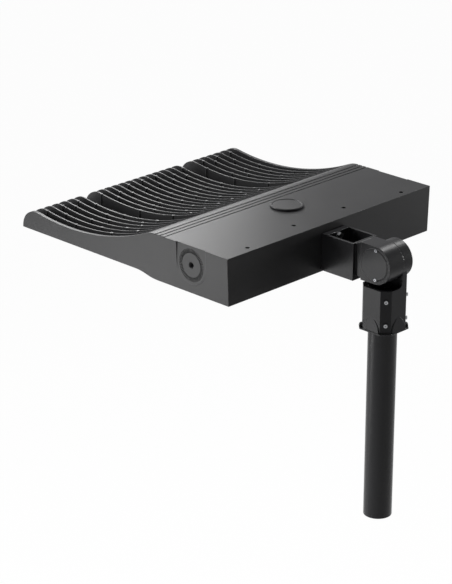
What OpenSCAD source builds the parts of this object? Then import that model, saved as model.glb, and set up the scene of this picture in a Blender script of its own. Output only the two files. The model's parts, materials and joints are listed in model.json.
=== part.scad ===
// Outdoor LED flood light on a 60 mm pole: finned die-cast head, short bracket arm,
// toothed tilting knuckle and octagonal slip-over socket.
// Frame: origin at the centre of the pole's lower end, +Z up, the head reaches out along -Y
// and its width runs along X. Sizes in millimetres.
// In the head, "forward" is measured from the rear face towards the nose and "down" from the flat top.

/* [Pole] */
// Outside diameter of the pole
pole_od = 60.3; // [58:0.1:66]
// Wall thickness of the pole
pole_wall = 3.2; // [2:0.1:5]
// Length of pole below the slip-over socket
pole_below = 425; // [200:1:600]
// Length of pole inside the socket
pole_insert = 77; // [74:1:80]
// How far the pole's end is turned down, without its coating, inside the socket
turned_down = 1; // [0.8:0.1:1.4]
// Radial play between bare pole and socket bore
pole_fit = 0.08; // [0.03:0.01:0.1]

/* [Socket] */
// Distance across the flats of the octagonal socket
socket_flats = 77.5; // [75:0.5:84]
// Corner chamfer of the octagon
socket_chamfer = 16; // [14:0.5:18]
// Height of the socket
socket_h = 94.5; // [92:0.5:110]
// How far the socket axis lies behind the pole axis, pushed there by the set screws
socket_offset = 2.4; // [0:0.1:3]
// Wall of the open mouth above the pole
mouth_wall = 4.5; // [3.5:0.5:6]
// Thickness of the ledge that stops the pole
ledge_t = 6; // [4:0.5:8]
// How far the arched flares stand out from the flats at the foot
flare_out = 2.5; // [2:0.5:4]
// How far the lip stands out past the flares
lip_out = 0.8; // [0.5:0.1:2]
// Thickness of the lip round the foot
lip_t = 3; // [2:0.5:4]
// Height of the ears at two corners of the foot
ear_h = 10.5; // [8:0.5:14]
// How far the ears and the lip reach out past those two corners
ear_out = 6.6; // [5:0.2:8]
// Height of the arched flares above the foot
flare_h = 35; // [26:1:40]
// Width of the arched flares at the foot
flare_w = 42; // [36:1:44]
// Thread diameter of the pole set screws
set_screw_d = 8; // [6:1:10]
// Height of the lower set screws above the foot
set_low = 21; // [16:1:24]
// Height of the upper set screws above the foot
set_high = 72; // [60:1:78]
// How far the set screws stand out of the socket
set_out = 4; // [1:0.5:5]

/* [Knuckle] */
// Radius of the knuckle drum
knuckle_r = 40.5; // [38:0.5:44]
// Full width of the knuckle along its pivot
knuckle_w = 69.5; // [64:0.5:76]
// Width of the lug that rises from the socket
lug_w = 25.5; // [22:0.5:30]
// Running gap between the lug and the arm drum
knuckle_gap = 0.5; // [0.3:0.1:1]
// Height of the pivot above the socket rim
pivot_rise = 50; // [48:0.2:56]
// How far the pivot lies behind the socket axis
pivot_back = 2; // [0:0.1:3]
// Pivot bolt diameter
pivot_d = 12; // [10:1:14]
// Radial running clearance of the pivot bolt
pivot_fit = 0.06; // [0.03:0.01:0.1]
// Number of teeth on each knuckle face
knuckle_teeth = 36; // [24:12:60]
// Depth of the knuckle teeth
tooth_h = 1.4; // [1:0.1:2]
// Radius of the inset cap on the drum
cap_r = 35.5; // [30:0.5:36]
// Thickness of the inset cap
cap_t = 3.5; // [2:0.5:5]
// Radius of the circle that the cap screws lie on
cap_screw_r = 31.3; // [26:0.1:32]

/* [Arm] */
// Distance from the pivot to the rear face of the head
arm_reach = 145.2; // [132:0.2:172]
// Outside width of the arm channel
arm_w = 70.5; // [66:0.5:76]
// Outside height of the arm channel
arm_h = 80; // [74:1:84]
// Wall of the arm channel
arm_wall = 4.5; // [3.5:0.5:6]
// Thickness of the bolted arm foot
arm_foot_t = 14; // [10:1:18]
// Distance from the pivot to the end of the channel
arm_end = 57.8; // [56:0.2:64]
// Height of the arm top above the pivot
arm_top = 31.1; // [28:0.1:34]
// Width of the neck on the near side of the centre
neck_w = 28; // [24:0.5:31]
// Thickness of the gasket behind the arm foot
arm_gasket_t = 2; // [1:0.5:3]
// Arm bolt diameter
arm_bolt_d = 8; // [6:1:10]

/* [Head] */
// Width of the head at its top
head_w = 617; // [560:1:680]
// Length of the head from rear face to nose
head_len = 622; // [600:1:680]
// Height of the driver box
head_h = 101.5; // [98:0.5:112]
// Depth of the lamp underside below the flat top
panel_d = 92.7; // [90:0.1:96]
// Height of the flat top above the pivot
head_rise = 48.7; // [45:0.1:53]
// Side draft of the casting in degrees
draft = 2.2; // [0.5:0.1:3]
// Wall of the driver box
box_wall = 5; // [4:0.5:7]
// Thickness of the outer side walls beside the fins
side_wall = 7; // [6:0.5:9]
// Radius of the hollow curve of the top
dip_r = 590; // [560:5:700]
// Lowest point of the hollow curve, forward
dip_f = 474; // [466:1:490]
// Depth of the hollow curve below the flat top
dip_d = 57.5; // [52:0.5:60]
// Radius of the rounded crest behind the fins
crest_r = 60; // [40:5:80]
// Forward end of the driver box underside
box_len = 203; // [199:1:209]
// Forward end of the ramp down from box to lamp underside
ramp_end = 269; // [262:1:275]

/* [Fins] */
// Thickness of a cooling fin
fin_t = 3; // [2.4:0.1:4]
// Number of fins in the middle group
mid_fins = 13; // [11:2:15]
// Fins in each side group, without the side wall
side_fins = 6; // [5:1:7]
// Pitch of the middle group
mid_pitch = 20.7; // [19:0.1:22]
// Free lane between the groups, centre to centre
lane = 45.3; // [40:0.1:50]
// Depth of the channel floors below the flat top
floor_d = 78; // [74:0.5:80]
// Radius of the run-out at the rear of the channels
run_r = 130; // [90:5:140]
// Diameter of the ejector bosses on the fins
boss_d = 6.6; // [5:0.2:8]
// Stand of the bosses above the fin tops
boss_up = 0.3; // [0.2:0.1:1]
// Groove width behind the crest
groove_w = 3; // [2:0.5:4]
// Groove depth behind the crest
groove_d = 1.6; // [1:0.1:2.5]
// First groove, forward
groove_f = 179; // [170:1:184]
// Groove pitch
groove_pitch = 12; // [9:0.5:13]

/* [Side mounts] */
// Side pivot centre, forward
side_f = 103; // [95:1:115]
// Side pivot centre, down
side_d = 41; // [38:0.5:46]
// Half width of the flat side pad
pad_r = 41; // [38:0.5:44]
// How far the pad lies inside the top edge
pad_in = 2.2; // [1.6:0.1:3]
// Outer radius of the toothed ring
ring_ro = 35; // [31:0.5:37]
// Inner radius of the toothed ring
ring_ri = 25.5; // [22:0.5:28]
// Teeth of the side ring
ring_teeth = 60; // [36:12:72]
// Depth of the side ring's teeth
ring_depth = 1.5; // [1:0.1:2]
// Side thread diameter
side_thread = 12; // [10:1:14]
// Side thread depth
side_depth = 24; // [18:1:28]

/* [Photocell] */
// Centre of the photocell blank, forward
cell_f = 130; // [110:1:134]
// Radius of the photocell blank
cell_r = 36; // [32:0.5:40]
// Height of the blank above its gasket
cell_h = 3.5; // [2:0.5:6]
// Gasket thickness under the blank
cell_gasket_t = 1.5; // [1:0.5:2]

/* [Tray screws] */
// Outer pair of tray screws from the middle
tray_out_x = 234; // [220:1:245]
// Outer pair of tray screws, forward
tray_out_f = 17; // [16:1:24]
// Inner pair of tray screws from the middle
tray_in_x = 76; // [60:1:90]
// Inner pair of tray screws, forward
tray_in_f = 39; // [34:1:48]
// Diameter of the sunk screw holes
sunk_d = 9.5; // [9.5:0.1:11]
// Depth of the tray below the flat top
tray_d = 30; // [26:1:34]

/* [Driver door] */
// Thickness of the driver door
door_t = 3; // [2:0.5:4]
// Thickness of the door gasket
door_gasket_t = 1.5; // [1:0.5:2]
// Width of the ledge under the door gasket
door_ledge = 8; // [7:0.5:10]
// Thickness of the ledge
ledge_h = 8; // [6:0.5:10]
// Rear margin of the door
door_rear = 10; // [9:0.5:14]
// Front margin of the door, behind the end of the box underside
door_nose = 10; // [8:0.5:14]
// Side margin of the door
door_side = 17; // [16:0.5:22]

/* [Driver tray] */
// Thickness of the tray sheet
tray_t = 2; // [1.5:0.5:3]
// Half width of the tray
tray_x = 262; // [250:1:266]
// Rear margin of the tray behind the rear face
tray_rear = 28; // [24:1:34]
// Length of the tray
tray_l = 156; // [140:1:158]
// Drop of the tray's folded ends
tray_fold = 14; // [8:1:20]
// Width of the LED driver
driver_w = 210; // [180:5:240]
// Length of the LED driver
driver_l = 102; // [80:1:120]
// Height of the LED driver
driver_h = 38; // [30:1:44]
// Width of the surge protector
surge_w = 65; // [50:1:80]
// Length of the surge protector
surge_l = 45; // [35:1:60]
// Height of the surge protector
surge_h = 28; // [20:1:34]
// Poles of the terminal block
terminal_poles = 5; // [3:1:6]
// Pitch of the terminal block
terminal_pitch = 14; // [11:1:16]

/* [Lamp field] */
// Gap between the ramp and the lamp recess
lamp_gap = 6; // [4:1:10]
// Width of the solid nose in front of the lamp recess
lamp_nose = 22; // [18:1:30]
// Side margin of the lamp recess
lamp_side = 22; // [18:1:30]
// Depth of the recess roof below the flat top
lamp_roof = 84; // [82:0.5:86]
// Circuit board thickness
board_t = 1.6; // [1:0.1:2]
// Lens sheet thickness
lens_t = 2.4; // [2:0.2:3]
// Bezel thickness
bezel_t = 1.6; // [1.2:0.1:2]
// Bezel width
bezel_w = 14; // [12:0.5:18]
// Lamps across one board
lamp_cols = 4; // [3:1:6]
// Lamps along one board
lamp_rows = 7; // [5:1:9]
// Radius of one lens dome
dome_r = 7; // [5:0.5:8]

/* [Hidden] */

round_fn = 96;
small_fn = 32;
over = 1;
seat = 0.15;
blend = 0.02;

cast_black = "#303134";
dark_black = "#1d1d1f";
screw_steel = "#b9bcc0";
zinc_steel = "#a4a7ab";

// Heights along the pole and places along Y
pole_len = pole_below + pole_insert;
rim_z = pole_below + socket_h;
pivot_z = rim_z + pivot_rise;
pivot_y = socket_offset + pivot_back;
rear_y = pivot_y - arm_reach;
top_z = pivot_z + head_rise;
half_flats = socket_flats / 2;
lug_fillet = 12;
bare_r = pole_od / 2 - turned_down;
pole_bore = bare_r + pole_fit;
set_face = (2 * half_flats - socket_chamfer) / sqrt(2);
set_lean = socket_offset / sqrt(2);
set_tip = sqrt(bare_r * bare_r - set_lean * set_lean) - set_lean + 0.2;

// Knuckle faces along X
knuckle_x = knuckle_w / 2;
lug_face = lug_w - knuckle_x;
drum_face = lug_face + knuckle_gap;
bolt_af = 1.5 * pivot_d;
bolt_head_t = 0.62 * pivot_d;
bolt_well_r = bolt_af / 2 / cos(30) + 2;
washer_t = 2.5;
nut_t = 0.8 * pivot_d;
nut_seat = knuckle_x - cap_t - 3 - nut_t - washer_t - 3;

// Head: hollow curve, crest, nose and channel run-out share tangents
dip_c = dip_d - dip_r;
crest_f = dip_f - sqrt(pow(dip_r + crest_r, 2) - pow(crest_r - dip_c, 2));
crest_end = crest_f + crest_r * (dip_f - crest_f) / (dip_r + crest_r);
nose_a = head_len - dip_f;
nose_b = panel_d - dip_c;
nose_r = (nose_a * nose_a + nose_b * nose_b - dip_r * dip_r) / (2 * (nose_a + dip_r));
nose_f = head_len - nose_r;
nose_join = nose_f - nose_r * (nose_f - dip_f) / (dip_r + nose_r);
function dip_at(f) = sqrt(dip_r * dip_r - pow(f - dip_f, 2)) + dip_c;

// Arm
arm_bolt_z = [arm_top - 9.5, arm_top - arm_h + arm_wall + 11];
arm_foot_y = rear_y + arm_gasket_t;
wire_r = 9;
neck_low = pivot_z - knuckle_r + 2;
neck_gap = 9;
cap_screw_turn = 88;

// Fins across the head
half_w = head_w / 2;
function half_at(d) = half_w - d * tan(draft);
side_in = half_at(dip_d) - side_wall;
mid_half = (mid_fins - 1) / 2;
side_start = mid_half * mid_pitch + lane;
side_pitch = (side_in + side_wall / 4 - side_start) / side_fins;
run_end = crest_end - 2;
run_top = crest_r - sqrt(crest_r * crest_r - pow(run_end - crest_f, 2));
run_f = run_end + sqrt(run_r * run_r - pow(run_r - floor_d + run_top, 2));
ramp_h = head_h - panel_d;
ramp_l = (ramp_end - box_len) / 2;
ramp_r = (ramp_l * ramp_l + ramp_h * ramp_h / 4) / ramp_h;
side_places = [for (i = [0:side_fins - 1]) side_start + i * side_pitch];
fins = concat([for (i = [side_fins - 1:-1:0]) -side_places[i]],
    [for (i = [-mid_half:mid_half]) i * mid_pitch], side_places);
edges = concat([-side_in - fin_t / 2], fins, [side_in + fin_t / 2]);
channels = [for (i = [0:len(edges) - 2]) [edges[i] + fin_t / 2, edges[i + 1] - fin_t / 2]];

// Ejector boss stations along the fins, measured back from the nose
row_a = [52, 144, 255];
row_b = [87, 200, 312];
row_c = [69, 174, 277];
row_d = [85, 174, 278];
row_e = [54, 176, 279];
row_f = [87, 173, 312];
mid_rows = [row_a, row_b, row_a, row_f, row_c, row_b, row_e];
side_rows = [row_d, row_a, row_c, row_a, row_b, row_a];
boss_rows = [for (x = fins) abs(x) > side_start - 1
    ? side_rows[min(5, round((abs(x) - side_start) / side_pitch))]
    : mid_rows[min(6, round(abs(x) / mid_pitch))]];

// Side pads
pad_x = half_w - pad_in;

// Door, lamp field and screws
small_screw = 2;
tray_screw_r = 2.5;
door_front = box_len - door_nose;
lamp_rear = ramp_end + lamp_gap;
lamp_front = head_len - lamp_nose;
under_tray = tray_d + tray_t;
driver_f = tray_rear + (tray_l - driver_l) / 2;
rib_pitch = driver_w / 14;
rib_w = 3;
rib_h = 1.5;
surge_x = (tray_x + driver_w / 2) / 2;
terminal_w = terminal_poles * terminal_pitch;
sunk_floor = 5;
cell_hole = 14;
lens_gasket_t = 1.5;
vent_x = 150;
vent_f = 100;
vent_r = 6;
door_d = head_h - door_t;
door_x = half_at(head_h) - door_side;
ledge_d = door_d - door_gasket_t;
cave_x = half_at(ledge_d) - box_wall;
lamp_x = half_at(panel_d) - lamp_side;
lens_d = panel_d - bezel_t - lens_t;
board_w = (2 * lamp_x - 2 * bezel_w - 4 * seat) / 3 - 6;
board_pitch = board_w + 6;
field_rear = lamp_rear + bezel_w;
field_front = lamp_front - bezel_w;
board_l = field_front - field_rear - 6;
lamp_pitch_x = board_w / lamp_cols;
lamp_pitch_f = board_l / lamp_rows;
door_screws_at = [for (x = [-1, -1 / 3, 1 / 3, 1], f = [0, 1]) [x * (door_x - door_ledge / 2), f]];
bezel_screws_at = concat(
    [for (x = [-1, -0.5, 0, 0.5, 1], f = [0, 1]) [x * (lamp_x - bezel_w / 2), f]],
    [for (x = [-1, 1]) [x * (lamp_x - bezel_w / 2), 0.5]]);
function door_row(k) = k == 0 ? door_rear + door_ledge / 2 : door_front - door_ledge / 2;
function lamp_row(k) = lamp_rear + bezel_w / 2 + k * (lamp_front - lamp_rear - bezel_w);
tray_at = [[-tray_out_x, tray_out_f], [-tray_in_x, tray_in_f], [tray_in_x, tray_in_f], [tray_out_x, tray_out_f]];

// Place of a point of the head
function at_head(x, f, d) = [x, rear_y - f, top_z - d];

// A block of the head between two corners in forward and down
module head_block(x0, x1, f0, f1, d0, d1) {
    translate([x0, rear_y - f1, top_z - d1])
        cube([x1 - x0, f1 - f0, d1 - d0]);
}

// A cylinder along X from x0 to x1
module x_cyl(x0, x1, r, fn = round_fn) {
    translate([x0, 0, 0])
        rotate([0, 90, 0])
            cylinder(h = x1 - x0, r = r, $fn = fn);
}

// A cylinder along Z from z0 to z1
module z_cyl(z0, z1, r, fn = round_fn) {
    translate([0, 0, z0])
        cylinder(h = z1 - z0, r = r, $fn = fn);
}

// A hexagon prism along Z, given across its flats
module hex(af, h) {
    rotate(30)
        cylinder(h = h, r = af / 2 / cos(30), $fn = 6);
}

// Radial V grooves on a face square to X at x = 0, cut towards -X
module face_teeth(n, ri, ro, depth) {
    half = PI * ri / n * 0.8;
    for (i = [0:n - 1])
        rotate([i * 360 / n, 0, 0])
            translate([0, 0, ri])
                linear_extrude(ro - ri)
                    polygon([[over, -half * (1 + over / depth)], [over, half * (1 + over / depth)],
                        [-depth, 0]]);
}

// Octagon with equal flats, grown by g
module octagon(g = 0) {
    h = half_flats + g;
    c = socket_chamfer;
    polygon([[h, -h + c], [h, h - c], [h - c, h], [-h + c, h], [-h, h - c], [-h, -h + c], [-h + c, -h], [h - c, -h]]);
}

// Arched flare on the +X flat, thickest at the foot
module flare() {
    arch_r = (flare_w * flare_w / 4 + flare_h * flare_h) / flare_w;
    intersection() {
        translate([half_flats - over, 0, 0])
            rotate([90, 0, 90])
                linear_extrude(flare_out + over)
                    intersection() {
                        translate([-flare_w / 2, 0])
                            square([flare_w, flare_h - 1.5]);
                        translate([arch_r - flare_w / 2, 0])
                            circle(arch_r, $fn = round_fn);
                        translate([flare_w / 2 - arch_r, 0])
                            circle(arch_r, $fn = round_fn);
                    }
        translate([0, flare_w, 0])
            rotate([90, 0, 0])
                linear_extrude(2 * flare_w)
                    polygon([[half_flats - over, 0], [half_flats + flare_out, 0],
                        [half_flats + flare_out, lip_t], [half_flats, flare_h],
                        [half_flats - over, flare_h]]);
    }
}

// Steel pole, cut square at both ends
module pole() {
    color("#343538")
        difference() {
            union() {
                z_cyl(0, pole_below - 0.5, pole_od / 2);
                z_cyl(over, pole_len, bare_r);
            }
            z_cyl(-over, pole_len + over, pole_od / 2 - pole_wall);
        }
}

// Axis of one pole set screw: +1 on the near corner, -1 on the far corner
module set_screw_axis(side, z) {
    translate([0, socket_offset, pole_below + z])
        rotate([0, 0, 90 - side * 45])
            children();
}

// Plan of the lip: a square cut at the screw corners and, further out, at the two ears
module lip_plan() {
    h = half_flats + flare_out + lip_out;
    near = socket_chamfer + lip_out;
    far = 2 * h - (set_face + ear_out) * sqrt(2);
    polygon([[h, -h + far], [h, h - near], [h - near, h], [-h + far, h], [-h, h - far],
        [-h, -h + near], [-h + near, -h], [h - far, -h]]);
}

// Die-cast socket with the fixed half of the knuckle
module slipfitter_body() {
    ear_w = socket_chamfer * sqrt(2) - 2;
    color(cast_black)
        difference() {
            union() {
                translate([0, socket_offset, pole_below])
                    linear_extrude(socket_h)
                        octagon();
                translate([0, socket_offset, pole_below])
                    linear_extrude(lip_t)
                        lip_plan();
                for (a = [-45, 135])
                    translate([0, socket_offset, pole_below])
                        rotate([90, 0, a])
                            translate([0, 0, -ear_w / 4])
                                linear_extrude(ear_w / 2)
                                    polygon([[set_face - 3, 1], [set_face + ear_out - 0.5, 1],
                                        [set_face + ear_out - 0.5, ear_h - 3], [set_face + ear_out - 3, ear_h - 1],
                                        [set_face - 3, ear_h]]);
                for (a = [0, 90, 180, 270])
                    translate([0, socket_offset, pole_below])
                        rotate(a)
                            flare();
                intersection() {
                    translate([0, socket_offset, pole_below])
                        linear_extrude(pivot_z - pole_below)
                            octagon();
                    translate([-knuckle_x, -socket_flats, rim_z - over])
                        cube([lug_w, 2 * socket_flats, pivot_rise + 2 * over]);
                }
                translate([0, pivot_y, pivot_z])
                    x_cyl(-knuckle_x, lug_face, knuckle_r);
                intersection() {
                    translate([0, socket_offset, rim_z - over])
                        linear_extrude(lug_fillet + over)
                            octagon();
                    difference() {
                        translate([lug_face - over, 0, rim_z - over])
                            cube([lug_fillet + over, socket_flats, lug_fillet + over]);
                        translate([lug_face + lug_fillet, 2 * socket_flats, rim_z + lug_fillet])
                            rotate([90, 0, 0])
                                cylinder(h = 4 * socket_flats, r = lug_fillet, $fn = round_fn);
                    }
                }
            }
            z_cyl(pole_below - over, pole_len, pole_bore);
            z_cyl(pole_len - over, pole_len + ledge_t + over, pole_od / 2 - pole_wall - 2);
            intersection() {
                translate([0, socket_offset, 0])
                    z_cyl(pole_len + ledge_t, rim_z + lug_fillet + over, half_flats - mouth_wall);
                translate([lug_face, -socket_flats, pole_len])
                    cube([socket_flats, 2 * socket_flats, socket_h]);
            }
            for (side = [-1, 1], z = [set_low, set_high])
                set_screw_axis(side, z)
                    x_cyl(set_tip - 4, set_face + over, set_screw_d / 2, small_fn);
            translate([0, pivot_y, pivot_z]) {
                x_cyl(-knuckle_x - over, -knuckle_x + bolt_head_t + washer_t + 1, bolt_well_r);
                x_cyl(-knuckle_x, drum_face, pivot_d / 2 + seat);
                translate([lug_face, 0, 0])
                    face_teeth(knuckle_teeth, knuckle_r * 0.5, knuckle_r - 4, tooth_h);
            }
        }
}

// Four socket-head set screws that press the pole into the socket
module set_screws() {
    color(screw_steel)
        for (side = [-1, 1], z = [set_low, set_high])
            set_screw_axis(side, z)
                difference() {
                    x_cyl(set_tip, set_face + set_out, set_screw_d / 2 - seat, small_fn);
                    translate([set_face + set_out - set_screw_d / 2, 0, 0])
                        rotate([0, 90, 0])
                            hex(set_screw_d / 2, set_screw_d);
                }
}

// Pivot bolt, put in from the lug side
module pivot_bolt() {
    color(zinc_steel)
        translate([0, pivot_y, pivot_z]) {
            x_cyl(-knuckle_x + 1, nut_seat + washer_t + nut_t + 2, pivot_d / 2);
            translate([-knuckle_x + 1, 0, 0])
                rotate([0, 90, 0])
                    hex(bolt_af, bolt_head_t);
        }
}

// Flat washers under the pivot bolt's head and nut
module pivot_washers() {
    color(zinc_steel)
        translate([0, pivot_y, pivot_z])
            for (x = [-knuckle_x + 1 + bolt_head_t, nut_seat])
                difference() {
                    x_cyl(x, x + washer_t, bolt_well_r - 1);
                    x_cyl(x - over, x + washer_t + over, pivot_d / 2 + seat);
                }
}

// Lock nut in the drum, under the cap
module pivot_nut() {
    color(zinc_steel)
        translate([nut_seat + washer_t, pivot_y, pivot_z])
            difference() {
                rotate([0, 90, 0])
                    hex(bolt_af, nut_t);
                x_cyl(-over, nut_t + over, pivot_d / 2 + seat);
            }
}

// Arm channel, neck and the tilting half of the knuckle in one casting
module arm_bracket() {
    block_y = pivot_y - knuckle_r + 3;
    end_y = pivot_y - arm_end;
    step_y = pivot_y - knuckle_r - neck_gap;
    arm_low = pivot_z + arm_top - arm_h;
    color(cast_black)
        difference() {
            union() {
                translate([-arm_w / 2, arm_foot_y, arm_low])
                    cube([arm_w, end_y - arm_foot_y, arm_h]);
                difference() {
                    translate([-neck_w, 0, 0])
                        rotate([90, 0, 90])
                            linear_extrude(2 * neck_w)
                                polygon([[end_y - over, neck_low], [end_y - over, pivot_z + arm_top - 0.6],
                                    [end_y, pivot_z + arm_top - 0.6], [block_y, pivot_z + knuckle_r - 0.6],
                                    [block_y + over, pivot_z + knuckle_r - 0.6], [block_y + over, neck_low]]);
                    translate([-neck_w - over, step_y, pivot_z - 2 * knuckle_r])
                        cube([neck_w + over + drum_face, knuckle_r, 4 * knuckle_r]);
                }
                translate([drum_face, block_y, pivot_z - knuckle_r])
                    cube([knuckle_x - drum_face, pivot_y - block_y, 2 * knuckle_r]);
                translate([0, pivot_y, pivot_z])
                    x_cyl(drum_face, knuckle_x, knuckle_r);
            }
            translate([-arm_w / 2 + arm_wall, arm_foot_y + arm_foot_t, arm_low + arm_wall])
                cube([arm_w - 2 * arm_wall, end_y - arm_wall - arm_foot_y - arm_foot_t, arm_h]);
            for (z = arm_bolt_z)
                translate([0, arm_foot_y - over, pivot_z + z])
                    rotate([-90, 0, 0])
                        cylinder(h = arm_foot_t + 2 * over, r = arm_bolt_d / 2 + 0.4, $fn = small_fn);
            translate([0, arm_foot_y - over, pivot_z + arm_top - arm_h / 2])
                rotate([-90, 0, 0])
                    cylinder(h = arm_foot_t + 2 * over, r = wire_r, $fn = round_fn);
            translate([0, pivot_y, pivot_z]) {
                x_cyl(drum_face - over, nut_seat + over, pivot_d / 2 + pivot_fit);
                x_cyl(nut_seat, knuckle_x - cap_t + over, bolt_well_r + 2);
                x_cyl(knuckle_x - cap_t, knuckle_x + over, cap_r + seat);
                for (s = [-1, 1])
                    rotate([s * cap_screw_turn, 0, 0])
                        translate([0, cap_screw_r, 0])
                            x_cyl(knuckle_x - cap_t - 8, knuckle_x, 2, small_fn);
                for (a = [-75:15:75])
                    rotate([a, 0, 0])
                        translate([knuckle_x - 0.5, cap_r + 1, -0.5])
                            cube([over, knuckle_r - cap_r - 2, 1]);
                translate([drum_face, 0, 0])
                    mirror([1, 0, 0])
                        face_teeth(knuckle_teeth, knuckle_r * 0.5, knuckle_r - 4, tooth_h);
            }
        }
}

// Round cap that closes the drum
module knuckle_cap() {
    color(cast_black)
        translate([0, pivot_y, pivot_z])
            difference() {
                x_cyl(knuckle_x - cap_t, knuckle_x, cap_r);
                for (s = [-1, 1])
                    rotate([s * cap_screw_turn, 0, 0])
                        translate([0, cap_screw_r, 0]) {
                            x_cyl(knuckle_x - cap_t - over, knuckle_x + over, 2.2, small_fn);
                            x_cyl(knuckle_x - 2, knuckle_x + over, 3.6, small_fn);
                        }
            }
}

// Two pan-head screws of the cap
module knuckle_cap_screws() {
    color(screw_steel)
        translate([0, pivot_y, pivot_z])
            for (s = [-1, 1])
                rotate([s * cap_screw_turn, 0, 0])
                    translate([0, cap_screw_r, 0])
                        difference() {
                            union() {
                                x_cyl(knuckle_x - cap_t - 7, knuckle_x - 1.9, 2 - seat, small_fn);
                                x_cyl(knuckle_x - 2, knuckle_x + 0.3, 3.4, small_fn);
                            }
                            translate([knuckle_x - 1, 0, 0])
                                rotate([0, 90, 0])
                                    hex(2.5, 3);
                        }
}

// Two hex bolts that hold the arm to the head
module arm_bolts() {
    color(screw_steel)
        for (z = arm_bolt_z)
            translate([0, arm_foot_y + arm_foot_t + 1.6, pivot_z + z]) {
                rotate([-90, 0, 0])
                    hex(1.6 * arm_bolt_d, 0.65 * arm_bolt_d);
                rotate([90, 0, 0])
                    cylinder(h = arm_foot_t + arm_gasket_t + 1.6 + 11, r = arm_bolt_d / 2 - seat, $fn = small_fn);
            }
}

// Washers under the arm bolts
module arm_washers() {
    color(screw_steel)
        for (z = arm_bolt_z)
            translate([0, arm_foot_y + arm_foot_t, pivot_z + z])
                rotate([-90, 0, 0])
                    difference() {
                        cylinder(h = 1.6, r = arm_bolt_d, $fn = small_fn);
                        translate([0, 0, -over])
                            cylinder(h = 4, r = arm_bolt_d / 2 + seat, $fn = small_fn);
                    }
}

// Rubber gasket between arm foot and head
module arm_gasket() {
    color(dark_black)
        difference() {
            translate([-arm_w / 2 + 1, rear_y, pivot_z + arm_top - arm_h + 1])
                cube([arm_w - 2, arm_gasket_t, arm_h - 2]);
            for (z = arm_bolt_z)
                translate([0, rear_y - over, pivot_z + z])
                    rotate([-90, 0, 0])
                        cylinder(h = arm_gasket_t + 2 * over, r = arm_bolt_d / 2 + 0.4, $fn = small_fn);
            translate([0, rear_y - over, pivot_z + arm_top - arm_h / 2])
                rotate([-90, 0, 0])
                    cylinder(h = arm_gasket_t + 2 * over, r = wire_r, $fn = round_fn);
        }
}

// A cylinder along X in the head, centre given in forward and down
module head_cyl(x0, x1, f, d, r, fn = round_fn) {
    translate(at_head(0, f, d))
        x_cyl(x0, x1, r, fn);
}

// Full-width raw casting: driver box, crest, hollow top and round nose
module head_solid() {
    head_block(-half_w, half_w, 0, crest_f, 0, head_h - over);
    head_block(-half_w, half_w, 0, box_len, 0, head_h);
    intersection() {
        head_cyl(-half_w, half_w, crest_f, crest_r, crest_r + blend);
        head_block(-half_w, half_w, crest_f, crest_end + 3 * over, 0, crest_r);
    }
    head_block(-half_w, half_w, crest_f - over, crest_end, crest_r - over, panel_d);
    difference() {
        head_block(-half_w, half_w, crest_end - over, nose_join, dip_at(crest_end), panel_d);
        head_cyl(-half_w - over, half_w + over, dip_f, dip_c, dip_r, 4 * round_fn);
    }
    intersection() {
        head_cyl(-half_w, half_w, nose_f, panel_d, nose_r + blend);
        head_block(-half_w, half_w, nose_join - 3 * over, head_len, 0, panel_d);
    }
    head_block(-half_w, half_w, nose_join - over, nose_f, panel_d - nose_r / 2, panel_d);
    intersection() {
        head_cyl(-half_w, half_w, box_len, head_h - ramp_r, ramp_r);
        head_block(-half_w, half_w, box_len - over, (box_len + ramp_end) / 2, panel_d - over, head_h);
    }
    difference() {
        head_block(-half_w, half_w, (box_len + ramp_end) / 2 - over, ramp_end, panel_d - over, (panel_d + head_h) / 2);
        head_cyl(-half_w - over, half_w + over, ramp_end, panel_d + ramp_r, ramp_r);
    }
}

// The two drafted sides of the casting, as one long block
module drafted() {
    translate([0, rear_y + over, top_z])
        rotate([90, 0, 0])
            linear_extrude(head_len + 2 * over)
                polygon([[-half_at(-over), over], [half_at(-over), over],
                    [half_at(head_h + over), -head_h - over], [-half_at(head_h + over), -head_h - over]]);
}

// One cooling channel between x0 and x1, running out at the crest
module channel(x0, x1) {
    head_block(x0, x1, run_f, head_len + over, -over, floor_d);
    intersection() {
        head_cyl(x0, x1, run_f, floor_d - run_r, run_r);
        head_block(x0, x1, run_end - 3 * over, run_f + over, -over, floor_d);
    }
}

// U-shaped pad outline seen from the side, as a block from x0 to x1
module pad_block(x0, x1) {
    head_cyl(x0, x1, side_f, side_d, pad_r);
    head_block(x0, x1, side_f - pad_r, side_f + pad_r, 0, side_d);
}

// Everything cast inside the driver box
module box_bosses() {
    for (p = tray_at)
        translate(at_head(p[0], p[1], tray_d))
            z_cyl(0, tray_d - over, sunk_d / 2 + 3.5, small_fn);
    for (s = [-1, 1])
        mirror([s < 0 ? 1 : 0, 0, 0])
            head_cyl(pad_x - side_depth - 6, pad_x - over, side_f, side_d, side_thread / 2 + 8);
    for (z = arm_bolt_z)
        translate([0, rear_y - over, pivot_z + z])
            rotate([90, 0, 0])
                cylinder(h = 15, r = arm_bolt_d / 2 + 4.5, $fn = small_fn);
}

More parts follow.
